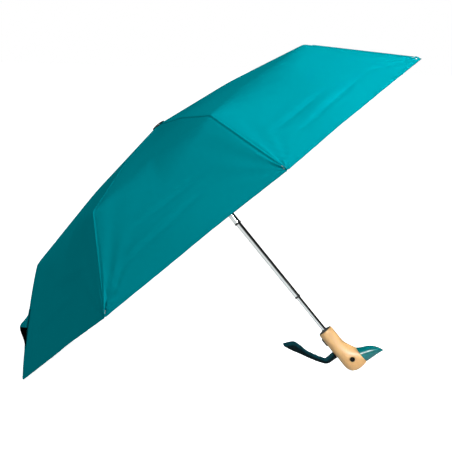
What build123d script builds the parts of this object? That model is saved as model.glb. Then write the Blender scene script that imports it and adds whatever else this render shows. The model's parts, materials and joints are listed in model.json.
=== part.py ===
from build123d import *
import os
from math import asin, cos, degrees, hypot, radians, sin

os.makedirs("parts", exist_ok=True)

# Folding rain umbrella, three-section ribs, open and lying on a floor.
# It is modelled about its own shaft: Z up the shaft to the crown, Z = 0 in the plane of the
# rib tips, X towards the side that ends uppermost. The last section lays it on the floor.

# ---------------------------------------------------------------- driving dimensions (mm)
RIBS = 8
PITCH = 360 / RIBS                    # angle between two ribs
FIRST_RIB = PITCH / 2                 # a seam on each side of the lowest gore

CROWN_Z = 199.0                       # height of the inner ribs' pivots
PIVOT_R = 8.5                         # their distance from the shaft, and the stretchers'
INNER_RIB = 164.0                     # pivot to pivot
MIDDLE_RIB = 164.0                    # pivot to pivot
OUTER_RIB = 203.0                     # pivot to the tip cap's end
INNER_SLOPE = -8.2                    # angles above the rim plane when open
MIDDLE_SLOPE = -11.4
OUTER_SLOPE = -44.1
KNUCKLE = 1.7                         # a folding pivot's distance from the rib's centre line
CHANNEL = 2.4                         # the steel channels' width and depth
CHANNEL_WALL = 0.45
LUG_R = 2.2
RIVET_R = 0.6
RIVET_END = 0.35                      # how far a rivet stands out of its lug
HEAD_OUT = 0.55                       # outer face of a rivet's head, from its lug
HEAD_THICK = 0.5
TAB = 1.1                             # thickness of the flat end that carries a rib's eye
TAB_LENGTH = 10.0
RUNNING = 0.05                        # radial clearance of a pin or a sliding tube
SIDE_GAP = 0.15                       # between two lugs on one rivet and the rib's middle
ROD_R = 1.2
CAP_R = 2.0

STRETCHER_FIXING = 102.0              # crown pivot to the stretcher's end, along the inner rib
STRETCHER = 106.0                     # pivot to pivot
STRETCHER_SIDE = 1.6                  # how far beside the rib's middle the stretcher starts
STRETCHER_WIDTH = 1.9
EYE_R = 1.7
PIN_R = 0.5

TOP_TUBE_R = 6.0
MIDDLE_TUBE_R = 5.1
LOWER_TUBE_R = 4.2
TUBE_WALL = 0.45
TOP_TUBE_END = -26.0                  # lower end of the top tube
MIDDLE_TUBE_END = -202.0              # lower end of the middle tube
TUBE_LAP = 28.0                       # length of tube that stays inside the next one
TUBE_TOP = 203.0

HANDLE_TOP = -285.0
HANDLE_R = 14.0
BARREL_END = -316.0
BUSHING_HEIGHT = 3.2                  # black bush where the shaft enters the wood
SEAM_X = 25.2                         # plane where the wood ends and the beak starts
SOCKET_END = -345.0                   # how deep the lower tube goes into the wood

CLOTH = 0.6                           # thickness of the plain canopy solids
CLOTH_GAP = 0.3
HEM_SHORT = 3.0                       # tip cap's end to the hem, along the rib
HEM_RISE = 5.0                        # how far a gore's hem curves in between two ribs


def polar(angle, length=1.0):
    """A vector in the rib's plane, at an angle above the rim plane."""
    return Vector(cos(radians(angle)), 0, sin(radians(angle))) * length


# Pivots of one rib in its own plane, open
crown_pivot = Vector(PIVOT_R, 0, CROWN_Z)
knee_pivot = crown_pivot + polar(INNER_SLOPE, INNER_RIB) + polar(INNER_SLOPE + 90, KNUCKLE)
elbow_pivot = knee_pivot + polar(MIDDLE_SLOPE, MIDDLE_RIB) - polar(MIDDLE_SLOPE + 90, 2 * KNUCKLE)
tip = elbow_pivot + polar(OUTER_SLOPE, OUTER_RIB) + polar(OUTER_SLOPE + 90, KNUCKLE)
fixing = crown_pivot + polar(INNER_SLOPE, STRETCHER_FIXING)
stretcher_rise = (STRETCHER**2 - (fixing.X - PIVOT_R) ** 2) ** 0.5
STRETCHER_SLOPE = degrees(asin(stretcher_rise / STRETCHER))
runner_pivot = Vector(PIVOT_R, 0, fixing.Z - stretcher_rise)
RUNNER_TRAVEL = runner_pivot.Z - (CROWN_Z - STRETCHER_FIXING - STRETCHER)

pieces = {}

# ---------------------------------------------------------------- shaft tubes
FLARE = 8.0                           # wide end that keeps a tube inside the next one
STOP_GAP = 0.4                        # left between a flare and the collar it stops on

top_bore = TOP_TUBE_R - TUBE_WALL
middle_bore = MIDDLE_TUBE_R - TUBE_WALL
middle_top = TOP_TUBE_END + TUBE_LAP
lower_top = MIDDLE_TUBE_END + TUBE_LAP


def flared_profile(outer, flare_outer, wall, low, high):
    """Half section of a tube whose top end is widened to slide in the tube around it."""
    return [
        (outer - wall, low),
        (outer, low),
        (outer, high - FLARE - 1),
        (flare_outer, high - FLARE),
        (flare_outer, high),
        (outer - wall, high),
    ]


with BuildPart() as top_tube:
    with BuildSketch(Plane.XY.offset(TOP_TUBE_END)):
        Circle(TOP_TUBE_R)
        Circle(top_bore, mode=Mode.SUBTRACT)
    extrude(amount=TUBE_TOP - TOP_TUBE_END)
pieces["top_tube"] = top_tube.part

with BuildPart() as middle_tube:
    with BuildSketch(Plane.XZ):
        with BuildLine():
            Polyline(
                flared_profile(MIDDLE_TUBE_R, top_bore - RUNNING, TUBE_WALL, MIDDLE_TUBE_END, middle_top),
                close=True,
            )
        make_face()
    revolve(axis=Axis.Z)
pieces["middle_tube"] = middle_tube.part

with BuildPart() as lower_tube:
    with BuildSketch(Plane.XZ):
        with BuildLine():
            Polyline(
                flared_profile(LOWER_TUBE_R, middle_bore - RUNNING, TUBE_WALL, SOCKET_END, lower_top),
                close=True,
            )
        make_face()
    revolve(axis=Axis.Z)
pieces["lower_tube"] = lower_tube.part

COLLAR_LIP = 3.5                      # part of a collar that shows below its tube


def collar_profile(shaft_r, tube_r, bore_r, tube_end, flare_low):
    """Half section of a plastic guide bush: a sleeve inside the tube and a lip under its end."""
    return [
        (shaft_r + RUNNING, tube_end - COLLAR_LIP),
        (tube_r + 0.2, tube_end - COLLAR_LIP),
        (tube_r + 0.6, tube_end - COLLAR_LIP + 0.8),
        (tube_r + 0.6, tube_end),
        (bore_r, tube_end),
        (bore_r, flare_low - STOP_GAP),
        (shaft_r + RUNNING, flare_low - STOP_GAP),
    ]


with BuildPart() as top_collar:
    with BuildSketch(Plane.XZ):
        with BuildLine():
            Polyline(
                collar_profile(MIDDLE_TUBE_R, TOP_TUBE_R, top_bore, TOP_TUBE_END, middle_top - FLARE - 1),
                close=True,
            )
        make_face()
    revolve(axis=Axis.Z)
pieces["top_collar"] = top_collar.part

with BuildPart() as middle_collar:
    with BuildSketch(Plane.XZ):
        with BuildLine():
            Polyline(
                collar_profile(
                    LOWER_TUBE_R, MIDDLE_TUBE_R, middle_bore, MIDDLE_TUBE_END, lower_top - FLARE - 1
                ),
                close=True,
            )
        make_face()
    revolve(axis=Axis.Z)
pieces["middle_collar"] = middle_collar.part

# Travel of the two telescoping tubes, to just short of the collars meeting
COLLAR_CLEAR = 1.5
TOP_TRAVEL = TOP_TUBE_END - COLLAR_LIP - MIDDLE_TUBE_END - COLLAR_CLEAR
MIDDLE_TRAVEL = MIDDLE_TUBE_END - COLLAR_LIP - (HANDLE_TOP + BUSHING_HEIGHT) - COLLAR_CLEAR

# Opening spring, held between the lower tube's end and the middle tube's top
SPRING_WIRE = 0.45
SPRING_R = 3.5
with BuildPart() as opening_spring:
    spring_low = lower_top + SPRING_WIRE + 0.3
    spring_height = middle_top - 6.0 - spring_low
    with BuildLine() as coil:
        Helix(pitch=spring_height / 22, height=spring_height, radius=SPRING_R, center=(0, 0, spring_low))
    with BuildSketch(Plane(origin=coil.line @ 0, z_dir=coil.line % 0)):
        Circle(SPRING_WIRE)
    sweep()
pieces["opening_spring"] = opening_spring.part

# ---------------------------------------------------------------- crown, cap and runner
CROWN_R = 10.2
CROWN_LOW = CROWN_Z - 3.6
CROWN_HIGH = TUBE_TOP
SLOT = 1.5                            # width of a rib's slot
SLOT_R = PIVOT_R - EYE_R - 0.1        # how deep the slots are cut
rib_angles = [FIRST_RIB + PITCH * i for i in range(RIBS)]

with BuildPart() as crown:
    with BuildSketch(Plane.XY.offset(CROWN_LOW)):
        Circle(CROWN_R)
        Circle(TOP_TUBE_R, mode=Mode.SUBTRACT)
    extrude(amount=CROWN_HIGH - CROWN_LOW)
    chamfer(crown.edges().filter_by(GeomType.CIRCLE).group_by(Axis.Z)[-1].sort_by(SortBy.RADIUS)[-1:], 0.8)
    with BuildSketch(Plane.XY.offset(CROWN_LOW)):
        with PolarLocations(SLOT_R + 5, RIBS, FIRST_RIB):
            Rectangle(10, SLOT)
    extrude(amount=CROWN_Z + EYE_R + 0.3 - CROWN_LOW, mode=Mode.SUBTRACT)
    for angle in rib_angles:
        with BuildSketch(Plane.XZ.rotated((0, 0, angle)).offset(-3)):
            with Locations((PIVOT_R, CROWN_Z)):
                Circle(PIN_R)
        extrude(amount=6, mode=Mode.SUBTRACT)
pieces["crown"] = crown.part

CROWN_PIN = 5.2                       # length of a crown pin
with BuildPart() as crown_pins:
    for angle in rib_angles:
        with BuildSketch(Plane.XZ.rotated((0, 0, angle)).offset(-CROWN_PIN / 2)):
            with Locations((PIVOT_R, CROWN_Z)):
                Circle(PIN_R)
        extrude(amount=CROWN_PIN)
pieces["crown_pins"] = crown_pins.part

CAP_UNDER = 206.2                     # the cloth is gripped between this and the crown
CAP_RIM_R = 13.0
CAP_DOME = 1.8                        # rise of the cap's dome above its rim
CAP_EDGE = 0.6                        # height of the rim above the cap's underside
CAP_STEM = 8.0                        # how deep the cap's stem goes into the top tube
dome_r = (CAP_DOME**2 + CAP_RIM_R**2) / (2 * CAP_DOME)
dome_z = CAP_UNDER + CAP_EDGE + CAP_DOME - dome_r
with BuildPart() as top_cap:
    with BuildSketch(Plane.XZ):
        with BuildLine():
            Polyline(
                (0, CROWN_HIGH - CAP_STEM),
                (top_bore, CROWN_HIGH - CAP_STEM),
                (top_bore, CAP_UNDER),
                (CAP_RIM_R, CAP_UNDER - 0.8),
                (CAP_RIM_R, CAP_UNDER + CAP_EDGE),
            )
            ThreePointArc(
                (CAP_RIM_R, CAP_UNDER + CAP_EDGE),
                (CAP_RIM_R / 2, dome_z + (dome_r**2 - CAP_RIM_R**2 / 4) ** 0.5),
                (0, CAP_UNDER + CAP_EDGE + CAP_DOME),
            )
            Line((0, CAP_UNDER + CAP_EDGE + CAP_DOME), (0, CROWN_HIGH - CAP_STEM))
        make_face()
    revolve(axis=Axis.Z)
pieces["top_cap"] = top_cap.part

RUNNER_SLEEVE_R = 7.4
RUNNER_FLANGE = 2.6                   # half the height of the slotted flange
RUNNER_SLEEVE = 15.0                  # sleeve below the pivots
RUNNER_PIN_END = 4.3                  # far end of a runner pin, beside the rib's plane
RUNNER_PIN = 3.5                      # its length
STRETCHER_SLOT = 1.6
stretcher_mid = STRETCHER_SIDE + STRETCHER_WIDTH / 2
with BuildPart() as runner:
    with BuildSketch(Plane.XY.offset(runner_pivot.Z - RUNNER_SLEEVE)):
        Circle(RUNNER_SLEEVE_R)
    extrude(amount=RUNNER_SLEEVE + RUNNER_FLANGE + 1.5)
    with BuildSketch(Plane.XY.offset(runner_pivot.Z - RUNNER_FLANGE)):
        Circle(CROWN_R)
    extrude(amount=2 * RUNNER_FLANGE)
    with BuildSketch(Plane.XY.offset(runner_pivot.Z - RUNNER_SLEEVE)):
        Circle(RUNNER_SLEEVE_R + 1.2)
    extrude(amount=3)
    with BuildSketch(Plane.XY.offset(runner_pivot.Z - RUNNER_SLEEVE)):
        Circle(TOP_TUBE_R + RUNNING)
    extrude(amount=RUNNER_SLEEVE + 2 * RUNNER_FLANGE, mode=Mode.SUBTRACT)
    for angle in rib_angles:
        with BuildSketch(Plane.XZ.rotated((0, 0, angle)).offset(-stretcher_mid - STRETCHER_SLOT / 2)):
            with Locations((SLOT_R + 5, runner_pivot.Z + 1)):
                Rectangle(10, 2 * EYE_R + 2.6)
        extrude(amount=STRETCHER_SLOT, mode=Mode.SUBTRACT)
        with BuildSketch(Plane.XZ.rotated((0, 0, angle)).offset(-RUNNER_PIN_END)):
            with Locations((PIVOT_R, runner_pivot.Z)):
                Circle(PIN_R)
        extrude(amount=RUNNER_PIN, mode=Mode.SUBTRACT)
pieces["runner"] = runner.part

with BuildPart() as runner_pins:
    for angle in rib_angles:
        with BuildSketch(Plane.XZ.rotated((0, 0, angle)).offset(-RUNNER_PIN_END)):
            with Locations((PIVOT_R, runner_pivot.Z)):
                Circle(PIN_R)
        extrude(amount=RUNNER_PIN)
pieces["runner_pins"] = runner_pins.part

# ---------------------------------------------------------------- ribs and stretchers
# Each is modelled with its first pivot at the origin and X along it, then set at its slope.
CHANNEL_START = 5.0                   # first pivot to the channel, where a tab carries the eye
KNUCKLE_CLEAR = 3.2                   # folding pivot to the channel's end


def side_plane(y):
    """The rib's own plane moved sideways; extruding from it goes to higher Y."""
    return Plane(origin=(0, y, 0), x_dir=(-1, 0, 0), z_dir=(0, 1, 0))


def across(x, z):
    """A point of a side plane, whose first axis runs towards -X."""
    return (-x, z)


def channel_section(x, mid_z, mid_y=0.0, width=CHANNEL, depth=CHANNEL):
    """Sketch of an inverted U channel's section, across the rib at x."""
    with BuildSketch(Plane(origin=(x, mid_y, mid_z), x_dir=(0, 1, 0), z_dir=(1, 0, 0))) as section:
        Rectangle(width, depth)
        with Locations((0, -CHANNEL_WALL / 2 - 0.01)):
            Rectangle(width - 2 * CHANNEL_WALL, depth - CHANNEL_WALL + 0.02, mode=Mode.SUBTRACT)
    return section.sketch


LEFT_LUG = (-CHANNEL / 2, -SIDE_GAP)
RIGHT_LUG = (SIDE_GAP, CHANNEL / 2)

with BuildPart() as inner_rib:
    extrude(channel_section(CHANNEL_START, 0), amount=INNER_RIB - KNUCKLE_CLEAR - CHANNEL_START)
    with BuildSketch(side_plane(-TAB / 2)):
        with Locations(across(0, 0)):
            Circle(EYE_R)
        with Locations(across(TAB_LENGTH / 2, 0)):
            Rectangle(TAB_LENGTH, CHANNEL - 0.8)
        with Locations(across(0, 0)):
            Circle(PIN_R + RUNNING, mode=Mode.SUBTRACT)
    extrude(amount=TAB)
    with BuildSketch(side_plane(RIGHT_LUG[0])):
        with Locations(across(INNER_RIB, KNUCKLE)):
            Circle(LUG_R)
        with Locations(across(INNER_RIB - 3, 0.5)):
            Rectangle(6, 2.0)
    extrude(amount=RIGHT_LUG[1] - RIGHT_LUG[0])
    with BuildSketch(side_plane(LEFT_LUG[0] - RIVET_END)):
        with Locations(across(INNER_RIB, KNUCKLE)):
            Circle(RIVET_R)
    extrude(amount=CHANNEL / 2 + RIVET_END + SIDE_GAP)
    with BuildSketch(side_plane(LEFT_LUG[0] - HEAD_OUT)):
        with Locations(across(INNER_RIB, KNUCKLE)):
            Circle(2 * RIVET_R)
    extrude(amount=HEAD_THICK)

with BuildPart() as middle_rib:
    extrude(channel_section(KNUCKLE_CLEAR, -KNUCKLE), amount=MIDDLE_RIB - 2 * KNUCKLE_CLEAR)
    with BuildSketch(side_plane(LEFT_LUG[0])):
        with Locations(across(0, 0)):
            Circle(LUG_R)
        with Locations(across(3, -1.0)):
            Rectangle(6, 2.0)
        with Locations(across(0, 0)):
            Circle(RIVET_R + RUNNING, mode=Mode.SUBTRACT)
    extrude(amount=LEFT_LUG[1] - LEFT_LUG[0])
    with BuildSketch(side_plane(RIGHT_LUG[0])):
        with Locations(across(MIDDLE_RIB, -2 * KNUCKLE)):
            Circle(LUG_R)
        with Locations(across(MIDDLE_RIB - 3, -1.9)):
            Rectangle(6, 2.2)
    extrude(amount=RIGHT_LUG[1] - RIGHT_LUG[0])
    with BuildSketch(side_plane(LEFT_LUG[0] - RIVET_END)):
        with Locations(across(MIDDLE_RIB, -2 * KNUCKLE)):
            Circle(RIVET_R)
    extrude(amount=CHANNEL / 2 + RIVET_END + SIDE_GAP)
    with BuildSketch(side_plane(LEFT_LUG[0] - HEAD_OUT)):
        with Locations(across(MIDDLE_RIB, -2 * KNUCKLE)):
            Circle(2 * RIVET_R)
    extrude(amount=HEAD_THICK)

with BuildPart() as outer_rib:
    with BuildSketch(Plane(origin=(KNUCKLE_CLEAR + 0.2, 0, KNUCKLE), x_dir=(0, 1, 0), z_dir=(1, 0, 0))):
        Circle(ROD_R)
    extrude(amount=OUTER_RIB - KNUCKLE_CLEAR - 3)
    with BuildSketch(Plane(origin=(OUTER_RIB - 8, 0, KNUCKLE), x_dir=(0, 1, 0), z_dir=(1, 0, 0))):
        Circle(CAP_R - 0.3)
    extrude(amount=6)
    with Locations((OUTER_RIB - CAP_R, 0, KNUCKLE)):
        Sphere(CAP_R)
    with BuildSketch(side_plane(LEFT_LUG[0])):
        with Locations(across(0, 0)):
            Circle(LUG_R)
        with Locations(across(3, 1.1)):
            Rectangle(6, 2.2)
        with Locations(across(0, 0)):
            Circle(RIVET_R + RUNNING, mode=Mode.SUBTRACT)
    extrude(amount=LEFT_LUG[1] - LEFT_LUG[0])

with BuildPart() as stretcher:
    extrude(
        channel_section(CHANNEL_START, 0, stretcher_mid, STRETCHER_WIDTH, 2.2),
        amount=STRETCHER - 2 - CHANNEL_START,
    )
    with BuildSketch(side_plane(stretcher_mid - TAB / 2)):
        with Locations(across(0, 0)):
            Circle(EYE_R)
        with Locations(across(TAB_LENGTH / 2, 0)):
            Rectangle(TAB_LENGTH, 1.6)
        with Locations(across(0, 0)):
            Circle(PIN_R + RUNNING, mode=Mode.SUBTRACT)
    extrude(amount=TAB)
    with BuildSketch(side_plane(STRETCHER_SIDE)):
        with Locations(across(STRETCHER, 0)):
            Circle(EYE_R)
        with Locations(across(STRETCHER - 3, 0)):
            Rectangle(6, 1.8)
    extrude(amount=0.9)
    with BuildSketch(side_plane(STRETCHER_SIDE)):
        with Locations(across(STRETCHER, 0)):
            Circle(2 * RIVET_R)
    extrude(amount=STRETCHER_WIDTH + 0.3)


def at_rib(pivot, slope, angle):
    """Place of a rib's first pivot: its slope in the rib's plane, then round the shaft."""
    return Rot(0, 0, angle) * Pos(pivot) * Rot(0, -slope, 0)


for number, angle in enumerate(rib_angles, start=1):
    pieces[f"inner_rib_{number}"] = inner_rib.part.moved(at_rib(crown_pivot, INNER_SLOPE, angle))
    pieces[f"middle_rib_{number}"] = middle_rib.part.moved(at_rib(knee_pivot, MIDDLE_SLOPE, angle))
    pieces[f"outer_rib_{number}"] = outer_rib.part.moved(at_rib(elbow_pivot, OUTER_SLOPE, angle))
    pieces[f"stretcher_{number}"] = stretcher.part.moved(at_rib(runner_pivot, STRETCHER_SLOPE, angle))

# ---------------------------------------------------------------- canopy gores
# A gore lies above the two ribs at its edges and is straight from rib to rib, so its section
# half way between them is the ribs' own, drawn in by the cosine of half the pitch.
half_pitch = radians(PITCH / 2)
over_cap = CAP_R + CLOTH_GAP
over_knee = LUG_R + CLOTH_GAP
over_elbow = LUG_R + CLOTH_GAP + 0.6
hem = tip + polar(OUTER_SLOPE, -HEM_SHORT)
bend = (MIDDLE_SLOPE + OUTER_SLOPE) / 2 + 90
inner_line = [
    Vector(top_bore + 0.6, 0, CAP_UNDER - 1.2 - CLOTH),
    knee_pivot + polar(INNER_SLOPE + 90, over_knee),
    elbow_pivot + polar(bend, over_elbow),
    hem + polar(OUTER_SLOPE + 90, over_cap),
]
outer_line = [
    inner_line[0] + Vector(0, 0, CLOTH),
    inner_line[1] + polar(INNER_SLOPE + 90, CLOTH),
    inner_line[2] + polar(bend, CLOTH / cos(radians((MIDDLE_SLOPE - OUTER_SLOPE) / 2))),
    inner_line[3] + polar(OUTER_SLOPE + 90, CLOTH),
]
section_points = [(p.X * cos(half_pitch), p.Z) for p in inner_line + outer_line[::-1]]
gore_half = tip.X * sin(half_pitch)
hem_x = tip.X * cos(half_pitch)

with BuildPart() as gore:
    with BuildSketch(Plane.XZ):
        with BuildLine():
            Polyline(section_points, close=True)
        make_face()
    extrude(amount=gore_half + 5, both=True)
    with BuildSketch(Plane.XY.offset(-20)):
        with BuildLine():
            Line((hem_x, -gore_half), (0, 0))
            Line((0, 0), (hem_x, gore_half))
            ThreePointArc((hem_x, gore_half), (hem_x - HEM_RISE, 0), (hem_x, -gore_half))
        make_face()
    extrude(amount=TUBE_TOP + 40, mode=Mode.INTERSECT)

for number, angle in enumerate(rib_angles, start=1):
    pieces[f"canopy_gore_{number}"] = gore.part.moved(Rot(0, 0, angle + PITCH / 2))

# Closing strap: a short loop of webbing sewn to the seam over the lower front rib
STRAP_RIB = 5
STRAP_FROM = 92.0                     # elbow to the strap's two sewn ends, along the outer rib
STRAP_TO = 146.0
STRAP_STAND = 15.0                    # how far the loop stands off the cloth
STRAP_CLEAR = 0.1
STRAP_WIDTH = 14.0
WEBBING = 1.2
strap_base = KNUCKLE + over_cap + CLOTH + STRAP_CLEAR
with BuildPart() as closing_strap:
    with BuildSketch(Plane.XZ):
        with BuildLine():
            Polyline(
                (STRAP_FROM - 10, strap_base),
                (STRAP_FROM, strap_base),
                (STRAP_FROM + 22, strap_base + STRAP_STAND),
                (STRAP_FROM + 26, strap_base + STRAP_STAND),
                (STRAP_TO, strap_base),
                (STRAP_TO + 8, strap_base),
                (STRAP_TO + 8, strap_base + WEBBING),
                (STRAP_TO + 0.6, strap_base + WEBBING),
                (STRAP_FROM + 26.6, strap_base + STRAP_STAND + WEBBING),
                (STRAP_FROM + 21.4, strap_base + STRAP_STAND + WEBBING),
                (STRAP_FROM - 0.6, strap_base + WEBBING),
                (STRAP_FROM - 10, strap_base + WEBBING),
                close=True,
            )
        make_face()
    extrude(amount=STRAP_WIDTH / 2, both=True)
pieces["closing_strap"] = closing_strap.part.moved(
    at_rib(elbow_pivot, OUTER_SLOPE, rib_angles[STRAP_RIB - 1])
)

# ---------------------------------------------------------------- handle
# The wood is a straight barrel that turns into the bird's head. The head is lofted through
# ovals, each given by its throat point, its outer point and its half width.
head_sections = [
    ((HANDLE_R, BARREL_END), (-HANDLE_R, BARREL_END), HANDLE_R),
    ((14.3, -320.5), (-14.0, -328.0), HANDLE_R),
    ((16.6, -327.0), (-13.7, -352.0), 14.6),
    ((19.6, -334.0), (-9.5, -373.0), 15.0),
    ((22.2, -339.5), (6.5, -380.4), 14.4),
    ((SEAM_X, -345.0), (SEAM_X, -377.4), 12.6),
]
beak_sections = [
    ((SEAM_X, -345.0), (SEAM_X, -377.4), 12.6),
    ((34.0, -350.8), (34.0, -378.2), 11.6),
    ((47.0, -357.6), (49.0, -379.0), 9.4),
    ((55.6, -366.4), (57.4, -379.8), 6.6),
    ((61.6, -378.6), (62.4, -380.6), 2.6),
]


def oval_plane(throat, outer):
    """Plane of one oval: X from its outer point to its throat, at right angles to Y."""
    mid = ((throat[0] + outer[0]) / 2, 0, (throat[1] + outer[1]) / 2)
    span = (throat[0] - outer[0], 0, throat[1] - outer[1])
    return Plane(origin=mid, x_dir=span, z_dir=(span[2], 0, -span[0]))


def oval(throat, outer, half_width):
    """Sketch of one oval of the head or the beak."""
    with BuildSketch(oval_plane(throat, outer)) as sketch:
        Ellipse(hypot(throat[0] - outer[0], throat[1] - outer[1]) / 2, half_width)
    return sketch.sketch


EYE_X, EYE_Z = 8.0, -357.0
BEAD_R = 4.8
BEAD_SEAT = 11.0                      # how far from the middle plane the eye's seat starts
BUTTON_MID = -302.5
BUTTON_LENGTH = 17.0
BUTTON_WIDTH = 7.0
BUTTON_FLOOR = -7.5                   # X of the button pocket's floor
BUTTON_CLEAR = 0.3
BAIL_Z = -330.5
BAIL_HALF = 4.6
BAIL_WIRE = 0.9
BAIL_OUT = -19.6
BAIL_IN = -8.0
button_plane = Plane(origin=(BUTTON_FLOOR, 0, BUTTON_MID), x_dir=(0, 0, 1), z_dir=(-1, 0, 0))
bail_legs = [(BAIL_Z - BAIL_HALF, 0), (BAIL_Z + BAIL_HALF, 0)]


def eye_plane(side):
    """Plane of an eye's seat, on the +Y or the -Y side of the head."""
    return Plane(origin=(EYE_X, side * BEAD_SEAT, EYE_Z), x_dir=(1, 0, 0), z_dir=(0, side, 0))


with BuildPart() as handle:
    with BuildSketch(Plane.XY.offset(HANDLE_TOP)):
        Circle(HANDLE_R)
    extrude(amount=BARREL_END - HANDLE_TOP)
    chamfer(handle.edges().sort_by(Axis.Z)[-1:], 0.8)
    loft([oval(*section) for section in head_sections])
    with BuildSketch(Plane.XY.offset(HANDLE_TOP + 1)):
        Circle(LOWER_TUBE_R)
    extrude(amount=SOCKET_END - HANDLE_TOP - 1, mode=Mode.SUBTRACT)
    with BuildSketch(button_plane):
        SlotOverall(BUTTON_LENGTH + 2 * BUTTON_CLEAR, BUTTON_WIDTH + 2 * BUTTON_CLEAR)
    extrude(amount=20, mode=Mode.SUBTRACT)
    for side in (1, -1):
        with BuildSketch(eye_plane(side)):
            Circle(BEAD_R)
        extrude(amount=12, mode=Mode.SUBTRACT)
    with BuildSketch(Plane(origin=(BAIL_IN, 0, 0), x_dir=(0, 0, 1), z_dir=(-1, 0, 0))):
        with Locations(*bail_legs):
            Circle(BAIL_WIRE)
    extrude(amount=12, mode=Mode.SUBTRACT)
pieces["handle"] = handle.part

with BuildPart() as beak:
    loft([oval(*section) for section in beak_sections])
pieces["beak"] = beak.part

BEAD_RISE = 5.4                       # the eye's height above its seat
BEAD_ROUND = 4.4                      # radius of its domed face
with BuildPart() as eyes:
    for side in (1, -1):
        with BuildSketch(eye_plane(side)):
            Circle(BEAD_R)
        extrude(amount=BEAD_RISE)
    fillet(eyes.edges().group_by(Axis.Y)[0] + eyes.edges().group_by(Axis.Y)[-1], BEAD_ROUND)
pieces["eyes"] = eyes.part

with BuildPart() as handle_bushing:
    with BuildSketch(Plane.XZ):
        with BuildLine():
            Polyline(
                (LOWER_TUBE_R, HANDLE_TOP),
                (HANDLE_R - 1.4, HANDLE_TOP),
                (HANDLE_R - 1.8, HANDLE_TOP + 1.2),
                (LOWER_TUBE_R + 1.6, HANDLE_TOP + 1.8),
                (LOWER_TUBE_R + 1.0, HANDLE_TOP + BUSHING_HEIGHT),
                (LOWER_TUBE_R, HANDLE_TOP + BUSHING_HEIGHT),
                close=True,
            )
        make_face()
    revolve(axis=Axis.Z)
pieces["handle_bushing"] = handle_bushing.part

BUTTON_BACK = 2.0                     # pocket floor to the button's back, its room to travel
BUTTON_PROUD = 16.0                   # shaft axis to the button's face
BUTTON_WELL = 2.9                     # radius of the spring's well in its back
BUTTON_TRAVEL = 1.5
with BuildPart() as release_button:
    with BuildSketch(button_plane.offset(BUTTON_BACK)):
        SlotOverall(BUTTON_LENGTH, BUTTON_WIDTH)
    extrude(amount=BUTTON_PROUD + BUTTON_FLOOR - BUTTON_BACK)
    fillet(release_button.edges().group_by(Axis.X)[0], 1.0)
    with BuildSketch(button_plane.offset(BUTTON_BACK)):
        Circle(BUTTON_WELL)
    extrude(amount=3.6, mode=Mode.SUBTRACT)
pieces["release_button"] = release_button.part

BUTTON_WIRE = 0.25
with BuildPart() as button_spring:
    coil_start = (BUTTON_FLOOR - BUTTON_WIRE - 0.05, 0, BUTTON_MID)
    with BuildLine() as button_coil:
        Helix(1.25, 5.0 - BUTTON_WIRE, BUTTON_WELL - 0.7, center=coil_start, direction=(-1, 0, 0))
    with BuildSketch(Plane(origin=button_coil.line @ 0, z_dir=button_coil.line % 0)):
        Circle(BUTTON_WIRE)
    sweep()
pieces["button_spring"] = button_spring.part

with BuildPart() as strap_bail:
    with BuildLine() as bail_wire:
        FilletPolyline(
            (BAIL_IN, 0, BAIL_Z - BAIL_HALF),
            (BAIL_OUT, 0, BAIL_Z - BAIL_HALF),
            (BAIL_OUT, 0, BAIL_Z + BAIL_HALF),
            (BAIL_IN, 0, BAIL_Z + BAIL_HALF),
            radius=2.0,
        )
    with BuildSketch(Plane(origin=bail_wire.line @ 0, z_dir=bail_wire.line % 0)):
        Circle(BAIL_WIRE)
    sweep()
pieces["strap_bail"] = strap_bail.part

# Wrist strap: two layers of webbing joined at the bail's bar and at the far end
LOOP_OUT = 2.6                        # half the loop's thickness
LOOP_IN = 1.4                         # half the room between its two layers
strap_outline = [
    (-16.4, -327.4), (-33.0, -330.6), (-52.0, -293.6), (-70.6, -257.0),
    (-80.4, -259.4), (-60.6, -298.0), (-40.6, -336.2), (-16.4, -333.8),
]
strap_room = [(-17.8, -345.0), (-17.8, -315.0), (-60.0, -256.0), (-85.4, -262.2), (-60.0, -345.0)]
with BuildPart() as wrist_strap:
    with BuildSketch(Plane.XZ):
        with BuildLine():
            Polyline(strap_outline, close=True)
        make_face()
    extrude(amount=LOOP_OUT, both=True)
    with BuildSketch(Plane.XZ):
        with BuildLine():
            Polyline(strap_room, close=True)
        make_face()
    extrude(amount=LOOP_IN, both=True, mode=Mode.SUBTRACT)
pieces["wrist_strap"] = wrist_strap.part

# ---------------------------------------------------------------- resting place
# The umbrella lies on two neighbouring rib tips and on the chin. Its lean is the angle at
# which the tip caps and the head reach the same floor, found by a few steps of correction.
# The origin is then the middle of the floor under the whole.
tip_x = -(tip.X - CAP_R) * cos(half_pitch)
tip_z = tip.Z + CAP_R
lean = 40.0
for step in range(5):
    chin_low = handle.part.moved(Rot(0, -lean, 0)).bounding_box().min.Z
    tip_low = tip_x * sin(radians(lean)) + tip_z * cos(radians(lean)) - CAP_R
    lean += degrees((tip_low - chin_low) / (tip.X - HANDLE_TOP))

boxes = [piece.moved(Rot(0, -lean, 0)).bounding_box() for piece in pieces.values()]
middle_x = (min(box.min.X for box in boxes) + max(box.max.X for box in boxes)) / 2
middle_y = (min(box.min.Y for box in boxes) + max(box.max.Y for box in boxes)) / 2
floor_z = min(box.min.Z for box in boxes)
resting = Pos(-middle_x, -middle_y, -floor_z) * Rot(0, -lean, 0)

for name, piece in pieces.items():
    placed = piece.moved(resting)
    placed.label = name
    export_step(placed, f"parts/{name}.step")

print(f"{len(pieces)} nodes, lean {lean:.2f} degrees, chin and tips {chin_low:.2f} {tip_low:.2f}")
print("resting at", [round(value, 4) for value in resting.position])
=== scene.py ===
"""Folding rain umbrella with a wooden bird's-head handle: its looks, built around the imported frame."""

import json
import math

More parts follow.
